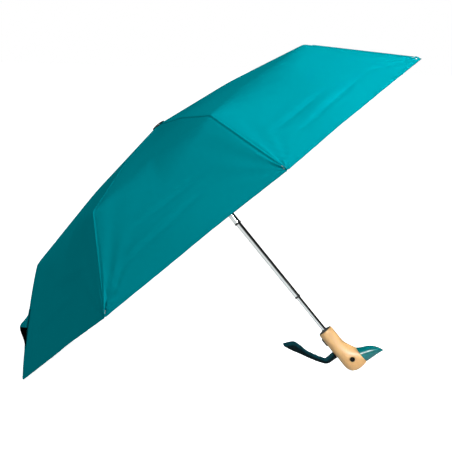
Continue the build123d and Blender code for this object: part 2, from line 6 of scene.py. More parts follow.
import bmesh
import bpy
import numpy as np
from bpy.props import FloatProperty, FloatVectorProperty, PointerProperty
from mathutils import Matrix, Vector

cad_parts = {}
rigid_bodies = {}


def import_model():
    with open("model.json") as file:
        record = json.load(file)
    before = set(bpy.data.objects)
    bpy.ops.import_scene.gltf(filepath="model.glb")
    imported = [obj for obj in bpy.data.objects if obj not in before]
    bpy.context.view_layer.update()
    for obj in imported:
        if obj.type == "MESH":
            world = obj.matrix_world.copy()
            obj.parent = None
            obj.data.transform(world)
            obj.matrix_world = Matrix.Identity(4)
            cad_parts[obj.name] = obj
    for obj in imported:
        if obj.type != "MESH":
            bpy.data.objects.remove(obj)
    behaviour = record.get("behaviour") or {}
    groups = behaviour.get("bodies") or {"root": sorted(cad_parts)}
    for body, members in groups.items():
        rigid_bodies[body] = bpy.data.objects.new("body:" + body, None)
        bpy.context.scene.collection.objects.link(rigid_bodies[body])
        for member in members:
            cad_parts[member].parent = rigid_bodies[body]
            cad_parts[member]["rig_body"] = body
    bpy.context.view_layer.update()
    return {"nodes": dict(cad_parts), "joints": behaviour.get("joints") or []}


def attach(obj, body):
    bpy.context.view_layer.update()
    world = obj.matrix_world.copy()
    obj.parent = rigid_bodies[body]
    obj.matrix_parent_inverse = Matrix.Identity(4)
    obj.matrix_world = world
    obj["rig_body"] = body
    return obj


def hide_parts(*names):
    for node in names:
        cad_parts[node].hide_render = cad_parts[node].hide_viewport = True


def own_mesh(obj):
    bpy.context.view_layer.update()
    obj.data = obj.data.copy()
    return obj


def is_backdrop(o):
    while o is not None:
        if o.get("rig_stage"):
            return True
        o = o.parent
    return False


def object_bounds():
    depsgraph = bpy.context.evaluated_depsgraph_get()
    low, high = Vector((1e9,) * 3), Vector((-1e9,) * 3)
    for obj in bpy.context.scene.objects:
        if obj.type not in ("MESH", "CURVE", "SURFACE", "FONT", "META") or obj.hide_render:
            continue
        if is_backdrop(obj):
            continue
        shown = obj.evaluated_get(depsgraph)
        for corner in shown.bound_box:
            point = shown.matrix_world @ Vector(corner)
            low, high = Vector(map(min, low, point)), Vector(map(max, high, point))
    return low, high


bl_info = {
    "name": "Folding Umbrella",
    "version": (1, 0, 0),
    "blender": (4, 5, 0),
    "location": "View3D > Sidebar > Umbrella",
    "description": "Builds the cloth, straps, handle and finishes of a folding umbrella",
    "category": "Add Mesh",
}

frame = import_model()
JOINTS = {joint["name"]: joint for joint in frame["joints"]}
MM = 0.001
RIBS = 8
HALF_PITCH = math.pi / RIBS

# The shaft's own axes in the row frame: UP towards the crown, OUT level with the rim, SIDE across.
UP = -Vector(JOINTS["runner_slide"]["axis"]).normalized()
SIDE = Vector((0, 1, 0))
OUT = SIDE.cross(UP).normalized()
CROWN = sum((Vector(JOINTS[f"inner_rib_hinge_{n}"]["pos_m"]) for n in range(1, RIBS + 1)), Vector()) / RIBS
RIM_CENTRE = CROWN - UP * 0.199
LEAN = math.atan2(-UP.x, UP.z)
SHAFT = Matrix((OUT, SIDE, UP)).transposed().to_4x4()
SHAFT.translation = RIM_CENTRE
TO_ROW = np.array(SHAFT)


def row_points(points):
    """Points in millimetres about the shaft, as metres in the row frame."""
    points = np.asarray(points, float) * MM
    return points @ TO_ROW[:3, :3].T + TO_ROW[:3, 3]


def rib_angle(number):
    """Angle of a rib round the shaft, in radians."""
    return HALF_PITCH + 2 * HALF_PITCH * (number - 1)


# ------------------------------------------------------------------ settings


def colour(name, description, default):
    """A colour that a user would change."""
    return FloatVectorProperty(
        name=name, description=description, default=default, size=3, subtype="COLOR", min=0, max=1
    )


class ClothSettings(bpy.types.PropertyGroup):
    """Canopy cloth and its sewing."""

    teal: colour("Cloth colour", "Colour of the canopy cloth", (0.0, 0.36, 0.43))
    sag: FloatProperty(
        name="Sag", description="How far a gore hangs in between two ribs", default=0.002, unit="LENGTH"
    )
    crease: FloatProperty(
        name="Tip creases", description="Height of the folds at the rib tips", default=0.0017, unit="LENGTH"
    )
    seam: FloatProperty(
        name="Seam ridge", description="Height of the sewn seam over a rib", default=0.0006, unit="LENGTH"
    )
    hem: FloatProperty(
        name="Hem width", description="Width of the turned and sewn hem", default=0.006, unit="LENGTH"
    )
    thickness: FloatProperty(
        name="Cloth thickness", description="Thickness of one layer", default=0.0003, unit="LENGTH"
    )
    thread: FloatProperty(
        name="Thread pitch", description="Distance between two threads", default=0.0005, unit="LENGTH"
    )


class HandleSettings(bpy.types.PropertyGroup):
    """Wooden handle with its lacquered beak."""

    wood_light: colour("Light wood", "Colour between the grain lines", (0.84, 0.50, 0.20))
    wood_dark: colour("Dark wood", "Colour of the grain lines", (0.72, 0.36, 0.11))
    beak: colour("Beak lacquer", "Colour of the glossy beak", (0.0, 0.17, 0.18))
    grain: FloatProperty(
        name="Grain spacing", description="Distance between grain lines", default=0.003, unit="LENGTH"
    )


class StrapSettings(bpy.types.PropertyGroup):
    """Wrist strap and closing strap."""

    webbing: colour("Webbing colour", "Colour of the wrist strap", (0.0, 0.046, 0.06))
    layer: FloatProperty(
        name="Webbing thickness", description="Thickness of one layer", default=0.001, unit="LENGTH"
    )
    rib: FloatProperty(
        name="Webbing rib", description="Distance between two woven ribs", default=0.0009, unit="LENGTH"
    )


class MetalSettings(bpy.types.PropertyGroup):
    """Shaft, ribs and plastic parts."""

    chrome: colour("Chrome", "Colour of the plated tubes", (0.74, 0.78, 0.78))
    steel: colour("Rib steel", "Colour of the ribs' dark steel", (0.055, 0.057, 0.06))
    plastic: colour("Black plastic", "Colour of the moulded parts", (0.012, 0.012, 0.013))
    tip: colour("Tip cap", "Colour of the rib tips' caps", (0.62, 0.66, 0.66))


class StageSettings(bpy.types.PropertyGroup):
    """Floor, light and camera."""

    key: FloatProperty(name="Key light", description="Power of the main softbox in watts", default=17)
    fill: FloatProperty(name="Fill light", description="Strength of the even light from around", default=0.31)
    lens: FloatProperty(
        name="Lens", description="Focal length on a 36 mm sensor", default=113.98, unit="CAMERA"
    )


# ------------------------------------------------------------------ shader expressions

STITCH = 0.0026


class Flow:
    """A shader socket that arithmetic works on."""

    def __init__(self, tree, socket):
        self.tree, self.socket = tree, socket

    def math(self, operation, first, second=None):
        values = {0: first} if second is None else {0: first, 1: second}
        return self.tree.node("ShaderNodeMath", {"operation": operation}, values)

    def __add__(self, other):
        return self.math("ADD", self, other)

    def __sub__(self, other):
        return self.math("SUBTRACT", self, other)

    def __mul__(self, other):
        return self.math("MULTIPLY", self, other)

    def __pow__(self, other):
        return self.math("POWER", self, other)

    def __lt__(self, other):
        return self.math("LESS_THAN", self, other)

    def __gt__(self, other):
        return self.math("GREATER_THAN", self, other)

    def sine(self):
        return self.math("SINE", self)

    def absolute(self):
        return self.math("ABSOLUTE", self)


class Finish:
    """A material's node tree and the few steps that every finish here needs."""

    def __init__(self, name):
        self.material = bpy.data.materials.new(name)
        self.material.use_nodes = True
        self.nodes = self.material.node_tree.nodes
        self.shader = self.nodes["Principled BSDF"]

    def put(self, socket, value):
        if isinstance(value, Flow):
            self.material.node_tree.links.new(value.socket, socket)
        elif socket.type == "RGBA":
            socket.default_value = (*value, 1.0)[:4]
        else:
            socket.default_value = value

    def node(self, kind, settings=None, values=None, output=0):
        """Adds a node with its settings, then its inputs, and gives one of its outputs."""
        made = self.nodes.new(kind)
        for name, value in (settings or {}).items():
            setattr(made, name, value)
        for key, value in (values or {}).items():
            self.put(made.inputs[key], value)
        return Flow(self, made.outputs[output])

    def place(self, scale=(1, 1, 1), turn=(0, 0, 0), source="Object"):
        """Coordinates on the piece, turned and scaled."""
        coordinates = self.node("ShaderNodeTexCoord", output=source)
        return self.node(
            "ShaderNodeMapping", {}, {"Vector": coordinates, "Rotation": turn, "Scale": scale}
        )

    def plane(self, uv_map):
        """The two coordinates of a UV map, in metres across and along the piece."""
        split = self.nodes.new("ShaderNodeSeparateXYZ")
        self.put(split.inputs[0], self.node("ShaderNodeUVMap", {"uv_map": uv_map}))
        return Flow(self, split.outputs[0]), Flow(self, split.outputs[1])

    def noise(self, where, scale, detail=3.0, roughness=0.5):
        values = {"Vector": where, "Scale": scale, "Detail": detail, "Roughness": roughness}
        return self.node("ShaderNodeTexNoise", {}, values)

    def mix(self, factor, first, second):
        """Two colours mixed by a factor."""
        settings = {"data_type": "RGBA"}
        return self.node("ShaderNodeMix", settings, {0: factor, 6: first, 7: second}, output=2)

    def bump(self, height, distance, strength=1.0):
        values = {"Height": height, "Distance": distance, "Strength": strength}
        return self.node("ShaderNodeBump", {}, values)

    def set(self, **values):
        """Feeds the shader's own sockets, named with _ for a space."""
        for name, value in values.items():
            self.put(self.shader.inputs[name.replace("_", " ")], value)
        return self.material


def settings():
    """The scene, which holds each group of settings."""
    return bpy.context.scene


def stitches(along):
    """One where a thread lies on top of the cloth, zero between two stitches."""
    return (along * (2 * math.pi / STITCH)).sine()


def cloth_finish():
    """Smooth woven polyester with sewn seams and hem, on the gore's own UV map in metres."""
    cloth = settings().umbrella_cloth
    f = Finish("canopy_cloth")
    across, along = f.plane("gore")
    seam = f.node("ShaderNodeAttribute", {"attribute_name": "from_seam"}, output="Fac")
    hem = f.node("ShaderNodeAttribute", {"attribute_name": "from_hem"}, output="Fac")
    turn = 2 * math.pi / cloth.thread
    weave = (across * turn).sine() * (along * turn).sine()
    uneven = f.noise(f.place((1, 1, 1)), 9.0, 4.0)
    slub = f.noise(f.place((700, 40, 1), source="UV"), 1.0, 2.0)
    teal = Vector(cloth.teal)
    body = f.mix(uneven * 0.7, tuple(teal * 0.93), tuple(teal * 1.06))
    body = f.mix(slub * 0.22, body, tuple(teal * 0.86))
    seam_stitch = ((seam - 0.0019).absolute() < 0.00022) * (stitches(along) > -0.35)
    hem_stitch = ((hem - cloth.hem * 0.86).absolute() < 0.00025) * (stitches(across) > -0.35)
    # Painted shade: the teal is darkened along the fold over each rib's seam and along the hem's turned edge.
    fold_shade = (seam < 0.0006) + (hem < 0.0005)
    body = f.mix(fold_shade * 0.45, body, tuple(teal * 0.35))
    body = f.mix((seam_stitch + hem_stitch) * 0.8, body, tuple(teal * 0.5))
    height = weave * 0.5 + (seam_stitch + hem_stitch) * 3.0
    return f.set(
        Base_Color=body,
        Roughness=slub * 0.12 + 0.42,
        Specular_IOR_Level=0.0,
        Normal=f.bump(height, 0.00003, 0.5),
    )


def wood_finish():
    """Lacquered pale beech, grain running up the shaft."""
    handle = settings().umbrella_handle
    f = Finish("lacquered_beech")
    turn = (0, LEAN, 0)
    line = 1 / handle.grain
    broad = f.noise(f.place((18, 18, 3), turn), 1.0, 3.0)
    warped = f.place((line, line, line * 0.035), turn)
    fine = f.noise(warped, 1.0, 5.0, 0.6)
    rings = ((fine * 9.0 + broad * 14.0).sine() * 0.5 + 0.5) ** 2.0
    flecks = f.noise(f.place((1300, 1300, 90), turn), 1.0, 2.0) > 0.66
    light, dark = Vector(handle.wood_light), Vector(handle.wood_dark)
    tone = f.mix(rings * 0.45, tuple(light), tuple(dark))
    tone = f.mix(broad * 0.5, tone, tuple(light * 0.97 + dark * 0.05))
    tone = f.mix(flecks * 0.22, tone, tuple(dark * 0.72))
    return f.set(
        Base_Color=tone,
        Roughness=rings * 0.1 + 0.36,
        Coat_Weight=0.4,
        Coat_Roughness=0.2,
        Normal=f.bump(rings * 0.4 + flecks * 0.5, 0.00004, 0.5),
    )


def beak_finish():
    """Thick glossy lacquer with slight unevenness."""
    handle = settings().umbrella_handle
    f = Finish("beak_lacquer")
    wave = f.noise(f.place(), 55.0, 2.0)
    speck = f.noise(f.place(), 900.0, 2.0)
    teal = Vector(handle.beak)
    return f.set(
        Base_Color=f.mix(wave, tuple(teal * 0.86), tuple(teal * 1.12)),
        Roughness=speck * 0.08 + 0.2,
        Specular_IOR_Level=0.2,
        Coat_Weight=0.6,
        Coat_Roughness=0.04,
        Normal=f.bump(wave, 0.0004, 0.15),
    )


def plastic_finish(name, shade, rough, shine=0.5):
    """Moulded plastic: fine spark texture and faint flow marks."""
    f = Finish(name)
    spark = f.noise(f.place(), 2600.0, 2.0)
    flow = f.noise(f.place(), 70.0, 3.0)
    shade = Vector(shade)
    return f.set(
        Base_Color=f.mix(flow, tuple(shade * 0.8), tuple(shade * 1.3 + Vector((0.003,) * 3))),
        Roughness=flow * 0.14 + (rough - 0.07),
        Specular_IOR_Level=shine,
        Normal=f.bump(spark, 0.00003, 0.5),
    )


def chrome_finish():
    """Bright plating with faint drawing lines up the tube and small marks."""
    f = Finish("chrome_plate")
    turn = (0, LEAN, 0)
    lines = f.noise(f.place((1500, 1500, 12), turn), 1.0, 2.0)
    smear = f.noise(f.place((60, 60, 20), turn), 1.0, 4.0)
    chrome = Vector(settings().umbrella_metal.chrome)
    return f.set(
        Base_Color=f.mix(smear, tuple(chrome * 0.92), tuple(chrome * 1.05)),
        Metallic=1.0,
        Roughness=smear * 0.1 + lines * 0.05 + 0.06,
        Normal=f.bump(lines, 0.00001, 0.4),
    )


def steel_finish(name, shade, metallic=0.7, rough=0.42):
    """Dark coated steel, rubbed brighter along its edges and pressed lines."""
    f = Finish(name)
    shade = Vector(shade)
    cloud = f.noise(f.place(), 160.0, 4.0)
    scratch = f.noise(f.place((90, 90, 900)), 1.0, 3.0)
    edge = f.node("ShaderNodeNewGeometry", output="Pointiness")
    worn = f.node("ShaderNodeMapRange", {}, {0: edge, 1: 0.52, 2: 0.62})
    body = f.mix(cloud, tuple(shade * 0.75), tuple(shade * 1.35))
    return f.set(
        Base_Color=f.mix(worn * 0.6, body, tuple(shade * 3.2 + Vector((0.06,) * 3))),
        Metallic=metallic,
        Roughness=scratch * 0.2 + (rough - 0.1),
        Normal=f.bump(cloud * 0.5 + scratch * 0.5, 0.00003, 0.5),
    )


def webbing_finish():
    """Dark ribbed webbing with thread-fine cross ribs, its lower edge painted nearly black as shade."""
    strap = settings().umbrella_strap
    f = Finish("strap_webbing")
    across, along = f.plane("strap")
    rib = (along * (2 * math.pi / strap.rib)).sine() * 0.5 + 0.5
    yarn = (across * (2 * math.pi / (strap.rib * 0.8))).sine() * 0.5 + 0.5
    cloud = f.noise(f.place(), 120.0, 4.0)
    dark = Vector(strap.webbing)
    body = f.mix(cloud, tuple(dark * 0.55), tuple(dark * 1.5))
    body = f.mix(rib * 0.4, body, tuple(dark * 0.4))
    # Painted shade: the webbing turns nearly black towards its lower edge, as if that edge lay in shadow.
    painted_shade_edge = f.node("ShaderNodeMapRange", {}, {0: across, 1: 0.0045, 2: 0.0085})
    body = f.mix(painted_shade_edge * 0.85, body, (0.001, 0.001, 0.001))
    return f.set(
        Base_Color=body,
        Roughness=cloud * 0.15 + 0.55,
        Specular_IOR_Level=0.05,
        Normal=f.bump(rib * 0.6 + yarn * 0.4, 0.00015, 0.8),
    )


def tab_finish():
    """Canopy cloth whose far half carries a black hook patch."""
    f = Finish("closing_tab")
    across, along = f.plane("strap")
    patch = (along > 0.034) * (along < 0.067)
    hooks = f.noise(f.place(), 2400.0, 1.0)
    teal = Vector(settings().umbrella_cloth.teal)
    cloud = f.noise(f.place(), 60.0, 3.0)
    body = f.mix(cloud, tuple(teal * 0.8), tuple(teal))
    stitch = ((across - 0.007).absolute() > 0.0052) * (stitches(along) > -0.3)
    body = f.mix(stitch * 0.4, body, tuple(teal * 0.45))
    return f.set(
        Base_Color=f.mix(patch, body, (0.002, 0.002, 0.002)),
        Roughness=patch * 0.4 + 0.5,
        Specular_IOR_Level=0.0,
        Normal=f.bump(hooks * patch + stitch * 0.5, 0.0003, 0.6),
    )


# ------------------------------------------------------------------ making meshes


def clear_selection():
    """Object mode with nothing selected."""
    if bpy.context.object and bpy.context.object.mode != "OBJECT":
        bpy.ops.object.mode_set(mode="OBJECT")
    bpy.ops.object.select_all(action="DESELECT")


def pick(piece):
    """Only this piece selected and active."""
    clear_selection()
    piece.select_set(True)
    bpy.context.view_layer.objects.active = piece


def new_piece(name, points, faces, uv_map, uvs, normals=None, attributes=None):
    """A mesh piece from row-frame points, with a UV for each of them."""
    mesh = bpy.data.meshes.new(name)
    mesh.from_pydata([tuple(p) for p in points], [], faces)
    mesh.validate()
    layer = mesh.uv_layers.new(name=uv_map)
    corners = np.zeros(len(mesh.loops), np.int32)
    mesh.loops.foreach_get("vertex_index", corners)
    layer.data.foreach_set("uv", np.asarray(uvs, np.float32)[corners].ravel())
    for key, values in (attributes or {}).items():
        attribute = mesh.attributes.new(key, "FLOAT", "POINT")
        attribute.data.foreach_set("value", np.asarray(values, np.float32))
    mesh.shade_smooth()
    if normals is not None:
        mesh.normals_split_custom_set_from_vertices([tuple(n) for n in normals])
    piece = bpy.data.objects.new(name, mesh)
    bpy.context.scene.collection.objects.link(piece)
    return piece


def select_faces(piece, test):
    """In edit mode, only the faces that pass a test."""
    bpy.ops.mesh.select_all(action="DESELECT")
    for face in bmesh.from_edit_mesh(piece.data).faces:
        face.select = test(face)
    bmesh.update_edit_mesh(piece.data)


def dress(piece, material, body, nodes=()):
    """Gives a piece its finish, its body and the CAD nodes it stands for."""
    piece.data.materials.clear()
    piece.data.materials.append(material)
    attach(piece, body)
    if nodes:
        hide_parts(*nodes)
    return piece


def shell_faces(rows, columns):
    """Faces of a closed thin shell: an outer grid, an inner grid and the rim between them."""
    outer = np.arange(rows * columns).reshape(rows, columns)
    inner = outer + rows * columns
    faces = []
    for r in range(rows - 1):
        for c in range(columns - 1):
            faces.append((outer[r, c], outer[r + 1, c], outer[r + 1, c + 1], outer[r, c + 1]))
            faces.append((inner[r, c], inner[r, c + 1], inner[r + 1, c + 1], inner[r + 1, c]))
    for r in range(rows - 1):
        faces.append((outer[r + 1, 0], outer[r, 0], inner[r, 0], inner[r + 1, 0]))
        faces.append((outer[r, -1], outer[r + 1, -1], inner[r + 1, -1], inner[r, -1]))
    for c in range(columns - 1):
        faces.append((outer[0, c], outer[0, c + 1], inner[0, c + 1], inner[0, c]))
        faces.append((outer[-1, c + 1], outer[-1, c], inner[-1, c], inner[-1, c + 1]))
    return [tuple(int(i) for i in face) for face in faces]


# ------------------------------------------------------------------ canopy

# Line of the cloth over one rib, radius and height in millimetres
CROWN_EDGE = np.array((6.6, 205.3))
KNEE = np.array((171.5, 180.4))
ELBOW = np.array((332.7, 144.6))
HEM_CORNER = np.array((485.2, -1.5))
INNER_WAY = (KNEE - CROWN_EDGE) / np.linalg.norm(KNEE - CROWN_EDGE)
MIDDLE_WAY = (ELBOW - KNEE) / np.linalg.norm(ELBOW - KNEE)
OUTER_WAY = (HEM_CORNER - ELBOW) / np.linalg.norm(HEM_CORNER - ELBOW)
# Lengths along the rib from its elbow, towards the hem
KNEE_AT = -np.linalg.norm(ELBOW - KNEE)
CROWN_AT = KNEE_AT - np.linalg.norm(KNEE - CROWN_EDGE)
HEM_AT = np.linalg.norm(HEM_CORNER - ELBOW)
SEAM_STEPS = np.array((0, 0.7, 1.4, 2.2, 3.2, 4.6, 6.6, 9.4))
SEAM_ROOM = 26.0  # half width of a gore below which the columns by the seam crowd together
HALF_COLUMNS = 26
ZONE_ROWS = (30, 34, 62)
HEM_STEPS = (8.4, 7.2, 6.4, 5.9, 5.2, 4.2, 3.0, 1.8, 0.9, 0.3, 0.0)
HEM_BAND = 9.0
SCALLOP = 2.0
CORNER_NOTCH, NOTCH_WIDTH = 1.6, 1.6
SLANTS = {"middle": 0.375, "outer": 0.28}  # how far each cut runs down per millimetre across
BESIDE_RIB = 2.2  # where the inner and middle cloth ends up beside a folded rib
# Creases at a tip: degrees off the rib, width in degrees, height, and how far they run
TIP_FOLDS = ((7, 3.2, 0.9, 110), (15, 4, -0.9, 85), (27, 4.5, 1.0, 70), (38, 5, -0.8, 55), (52, 6, 0.5, 40))
# Crease strength on each side of the ribs whose corners are pulled hardest: (gore, side) to strength
PULLED = {(6, -1): 2.2, (5, 1): 1.9, (6, 1): 1.25, (7, -1): 1.35}
# Rise of the cloth over one bowed rib: gore to side to height
BOWED = {4: {1: 5.5}, 5: {-1: 5.5}}
WAVES = 0.8, 0.4  # heights of the slow waves in a gore
FOLD_RISE = 1.7
HEM_LAYERS = 0.55  # what the turned hem adds to the cloth's thickness
# Long soft folds across a gore: start and end height over the hem, start and end share of its width
LONG_FOLDS = {7: ((88, 88, 0.10, 0.62), (46, 64, 0.2, 0.8)), 6: ((62, 90, 0.06, 0.7), (120, 112, 0.2, 0.75))}


def bend(u, half):
    """A ramp that starts at zero, rounded over half on each side."""
    return np.where(u > half, u, np.where(u < -half, 0.0, (u + half) ** 2 / (4 * half)))


def rib_line(u, t):
    """Radius and height of the cloth, u along the rib from its elbow, t from rib to gore middle."""
    elbow = bend(u, 5.0 + 62.0 * t)
    knee = bend(KNEE_AT - u, 22.0 + 20.0 * t)
    down, up = OUTER_WAY - MIDDLE_WAY, INNER_WAY - MIDDLE_WAY
    return [ELBOW[i] + MIDDLE_WAY[i] * u + down[i] * elbow - up[i] * knee for i in (0, 1)]


def column_share(u):
    """Where the half gore's columns lie at each u, from 0 on the rib to 1 in the gore's middle."""
    radius, _ = rib_line(u, 0.0)
    half_width = np.maximum(radius * math.sin(HALF_PITCH), 1.0)[..., None]
    near = SEAM_STEPS * np.minimum(1.0, half_width / SEAM_ROOM)
    rest = np.linspace(0, 1, HALF_COLUMNS - len(SEAM_STEPS) + 2)[1:]
    far = near[..., -1:] + (half_width - near[..., -1:]) * rest
    return np.concatenate([near, far], axis=-1) / half_width


def zone_edge(start, slant):
    """u of a zone's edge in each column: level across the rib when the rib is folded."""
    u = np.full(HALF_COLUMNS + 1, float(start))
    for _ in range(8):
        radius, _ = rib_line(u, 0.0)
        share = column_share(u)[np.arange(HALF_COLUMNS + 1), np.arange(HALF_COLUMNS + 1)]
        u = start + slant * share * radius * math.sin(HALF_PITCH)
    return u


def canopy_rows():
    """u of every row and column of a half gore, and the rows where its zones begin and end."""
    columns = HALF_COLUMNS + 1
    share = column_share(np.full(columns, HEM_AT))[0]
    half_width = HEM_CORNER[0] * math.sin(HALF_PITCH)
    hem = HEM_AT - SCALLOP * (1 - (1 - share) ** 2)
    hem = hem - CORNER_NOTCH * np.exp(-((share * half_width / NOTCH_WIDTH) ** 2))
    knee, elbow = zone_edge(KNEE_AT, SLANTS["middle"]), zone_edge(0.0, SLANTS["outer"])
    edges = [np.full(columns, CROWN_AT), knee, elbow, hem - HEM_BAND]
    rows = [edges[0][None]]
    marks = [0]
    for low, high, count in zip(edges, edges[1:], ZONE_ROWS):
        steps = np.linspace(0, 1, count + 1)[1:, None]
        rows.append(low + (high - low) * steps)
        marks.append(marks[-1] + count)
    rows.append(hem - np.array(HEM_STEPS)[:, None])
    marks[-1] += len(HEM_STEPS)
    return np.concatenate(rows), marks


def tip_folds(u, x, strength, spread):
    """Height of the creases that run out from a rib's tip, in millimetres."""
    along = np.maximum(HEM_AT - u, 0.01)
    distance = np.hypot(along, x)
    angle = np.degrees(np.arctan2(x, along))
    height = np.zeros_like(u)
    for place, width, rise, reach in TIP_FOLDS:
        height += rise * bell(angle - place * spread, width) * np.exp(-distance / reach)
    return strength * height * (1 - np.exp(-distance / 9.0))


def long_folds(from_hem, across, folds):
    """Soft folds that run across a gore, for places across it from -1 to 1."""
    place = (across + 1) / 2
    height = np.zeros_like(place)
    for start, end, low, high in folds:
        off = from_hem - (start + (end - start) * place)
        window = np.clip((place - low) / 0.16, 0, 1) * np.clip((high - place) / 0.22, 0, 1)
        window = window * window * (3 - 2 * window)
        height += window * (0.75 * bell(off - 11, 12) - bell(off, 6.5))
    return height


def both_halves(left, right):
    """A whole gore's grid from its left half and its mirrored right half, the shared columns once."""
    return np.concatenate([left, right[:, ::-1][:, 1:-1]], axis=1)


def normals_of(points):
    """Outward normals of the ring of gores."""
    along = np.gradient(points, axis=0)
    around = (np.roll(points, -1, axis=1) - np.roll(points, 1, axis=1)) / 2
    normal = np.cross(around, along)
    normal /= np.maximum(np.linalg.norm(normal, axis=2, keepdims=True), 1e-12)
    return -normal if normal[len(points) // 2, 0, 2] < 0 else normal


def bell(distance, width):
    """A smooth bump, one at zero distance."""
    return np.exp(-((distance / width) ** 2))


def canopy_surface():
    """The whole canopy as one closed ring of gores: points, normals, and cloth coordinates."""
    cloth = settings().umbrella_cloth
    u, marks = canopy_rows()
    rng = np.random.default_rng(7)
    rib_radius, _ = rib_line(u, 0.0)
    column = np.arange(HALF_COLUMNS + 1)[None, :, None].repeat(len(u), 0)
    share = np.take_along_axis(column_share(u), column, 2)[..., 0]
    radius, height = rib_line(u, share)
    width = radius * math.sin(HALF_PITCH)
    x = share * rib_radius * math.sin(HALF_PITCH)
    hem_off = u[-1][None] - u
    rings = []
    for gore in range(1, RIBS + 1):
        middle = rib_angle(gore) + HALF_PITCH
        halves = []
        for side in (-1, 1):
            across = side * width * (1 - share)
            level = radius * math.cos(HALF_PITCH)
            base = [
                level * math.cos(middle) - across * math.sin(middle),
                level * math.sin(middle) + across * math.cos(middle),
                height,
            ]
            here = dict(base=np.stack(base, -1), u=u, share=share, x=x, across=across, wide=width)
            halves.append(here | dict(side=np.full_like(u, side)))
        ring = {key: both_halves(halves[0][key], halves[1][key]) for key in halves[0]}
        phase = rng.uniform(0, 2 * math.pi, 6)
        strengths = {-1: rng.uniform(0.55, 0.95), 1: rng.uniform(0.55, 0.95)}
        strengths = {side: PULLED.get((gore, side), value) for side, value in strengths.items()}
        folds = LONG_FOLDS.get(gore) or [
            (rng.uniform(45, 70), rng.uniform(75, 105), 0.05, 0.7),
            (rng.uniform(110, 135), rng.uniform(95, 120), 0.3, 0.9),
        ]
        whole = np.clip((ring["u"] - CROWN_AT) / (HEM_AT - CROWN_AT), 0, 1)
        lift = -cloth.sag / MM * np.sin(ring["share"] * math.pi / 2) ** 1.4 * np.sin(math.pi * whole) ** 0.8
        bow = np.sin(math.pi * np.clip(ring["u"] / HEM_AT, 0, 1)) ** 0.5 * bell(ring["x"], 45)
        lift += sum(rise * bow * (ring["side"] == side) for side, rise in BOWED.get(gore, {}).items())
        lift += cloth.seam / MM * (bell(ring["x"], 1.1) - 0.8 * bell(ring["x"] - 3.4, 1.7))
        pucker = np.sin(ring["u"] / 1.9 + phase[0]) * np.sin(ring["u"] / 23.0 + phase[1])
        lift += 0.16 * pucker * bell(ring["x"] - 3.0, 3.0) * np.clip(whole * 4, 0, 1)
        for side in (-1, 1):
            creases = tip_folds(ring["u"], ring["x"], strengths[side], 1.0 + 0.12 * side)
            lift += cloth.crease / MM * creases * (ring["side"] == side)
        hang = np.sin(ring["share"] * math.pi / 2) ** 2 * np.clip(whole * 1.6, 0, 1)
        slope = 0.55 if gore % 2 == 0 else -0.45
        sweep = (ring["u"] - slope * ring["across"] * 1.6) / 46.0
        slow = WAVES[0] * np.sin(sweep + phase[2])
        quick = WAVES[1] * np.sin(1.9 * sweep + ring["across"] / 60.0 + phase[3])
        lift += hang * (slow + quick)
        from_hem = both_halves(hem_off, hem_off)
        lift += FOLD_RISE * long_folds(from_hem, ring["across"] / np.maximum(ring["wide"], 1.0), folds)
        hem_edge = from_hem - cloth.hem / MM
        band = 1 / (1 + np.exp(hem_edge / 0.25))
        ripple = np.sin(ring["across"] / 4.2 + phase[4]) * np.sin(ring["across"] / 13.0 + phase[5])
        lift += band * (0.25 + 0.3 * ripple) - 0.18 * bell(hem_edge, 0.5)
        ring.update(lift=lift, from_hem=from_hem, thick=cloth.thickness / MM + HEM_LAYERS * band)
        rings.append(ring)
    whole = {key: np.concatenate([ring[key] for ring in rings], axis=1) for key in rings[0]}

    points = whole["base"] + normals_of(whole["base"]) * whole["lift"][..., None]
    return points, normals_of(points), whole, marks


def area_of(points):
    """Area of a grid of points."""
    a = points[:-1, :-1]
    first = np.cross(points[1:, :-1] - a, points[1:, 1:] - a)
    second = np.cross(points[1:, 1:] - a, points[:-1, 1:] - a)
    return (np.linalg.norm(first, axis=2).sum() + np.linalg.norm(second, axis=2).sum()) / 2


